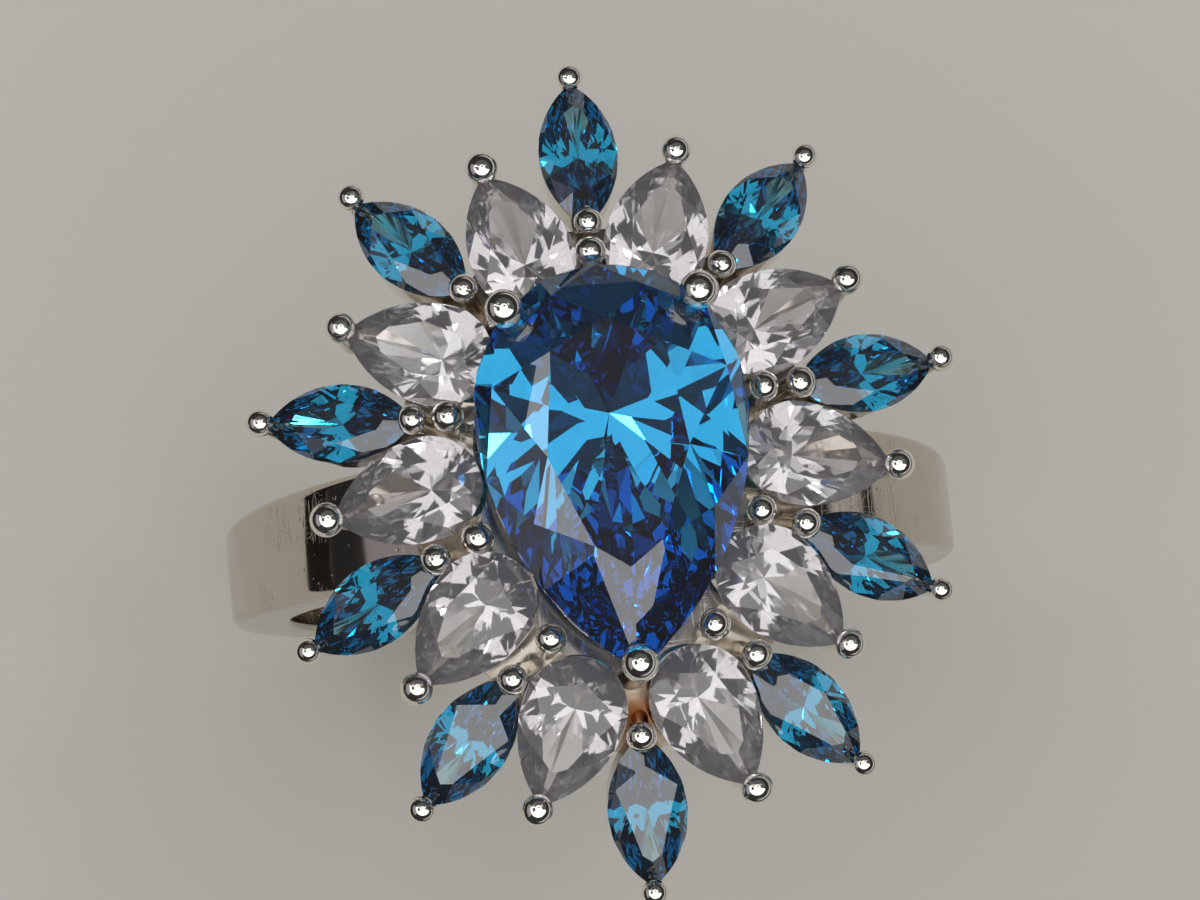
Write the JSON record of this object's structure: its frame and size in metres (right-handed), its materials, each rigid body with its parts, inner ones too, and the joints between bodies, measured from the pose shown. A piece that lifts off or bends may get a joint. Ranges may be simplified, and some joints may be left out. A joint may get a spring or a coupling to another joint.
{
  "type": "cocktail ring",
  "caption": "Cluster cocktail ring: raised pear-cut blue stone in a halo of clear pear-cut and blue marquise-cut stones, held by beaded claws on a tapered flat band.",
  "frame": {"origin": "centre of the finger hole", "axes": "+Y along the finger, from the point of the centre stone towards its round end; +Z from the finger axis out through the head; +X to the right when looking down on the head"},
  "size_m": [0.0206, 0.022, 0.0259],
  "materials": {
    "silver_plate": "polished",
    "london_blue_stone": "polished",
    "teal_blue_stone": "polished",
    "clear_stone": "polished"
  },
  "bodies": {
    "root": {"shank": "silver_plate", "under_gallery": "silver_plate", "gallery_plate": "silver_plate", "centre_rail": "silver_plate", "centre_claw_right": "silver_plate", "centre_claw_point": "silver_plate", "centre_claw_left": "silver_plate", "shared_claw_01": "silver_plate", "shared_claw_02": "silver_plate", "shared_claw_03": "silver_plate", "shared_claw_04": "silver_plate", "shared_claw_05": "silver_plate", "shared_claw_06": "silver_plate", "shared_claw_07": "silver_plate", "pear_setting_01": "silver_plate", "pear_setting_02": "silver_plate", "pear_setting_03": "silver_plate", "pear_setting_04": "silver_plate", "pear_setting_05": "silver_plate", "pear_setting_06": "silver_plate", "pear_setting_07": "silver_plate", "pear_setting_08": "silver_plate", "pear_setting_09": "silver_plate", "pear_setting_10": "silver_plate", "marquise_setting_01": "silver_plate", "marquise_setting_02": "silver_plate", "marquise_setting_03": "silver_plate", "marquise_setting_04": "silver_plate", "marquise_setting_05": "silver_plate", "marquise_setting_06": "silver_plate", "marquise_setting_07": "silver_plate", "marquise_setting_08": "silver_plate", "marquise_setting_09": "silver_plate", "marquise_setting_10": "silver_plate", "centre_stone": "london_blue_stone", "pear_stone_01": "clear_stone", "pear_stone_02": "clear_stone", "pear_stone_03": "clear_stone", "pear_stone_04": "clear_stone", "pear_stone_05": "clear_stone", "pear_stone_06": "clear_stone", "pear_stone_07": "clear_stone", "pear_stone_08": "clear_stone", "pear_stone_09": "clear_stone", "pear_stone_10": "clear_stone", "marquise_stone_01": "teal_blue_stone", "marquise_stone_02": "teal_blue_stone", "marquise_stone_03": "teal_blue_stone", "marquise_stone_04": "teal_blue_stone", "marquise_stone_05": "teal_blue_stone", "marquise_stone_06": "teal_blue_stone", "marquise_stone_07": "teal_blue_stone", "marquise_stone_08": "teal_blue_stone", "marquise_stone_09": "teal_blue_stone", "marquise_stone_10": "teal_blue_stone"}
  },
  "joints": []
}
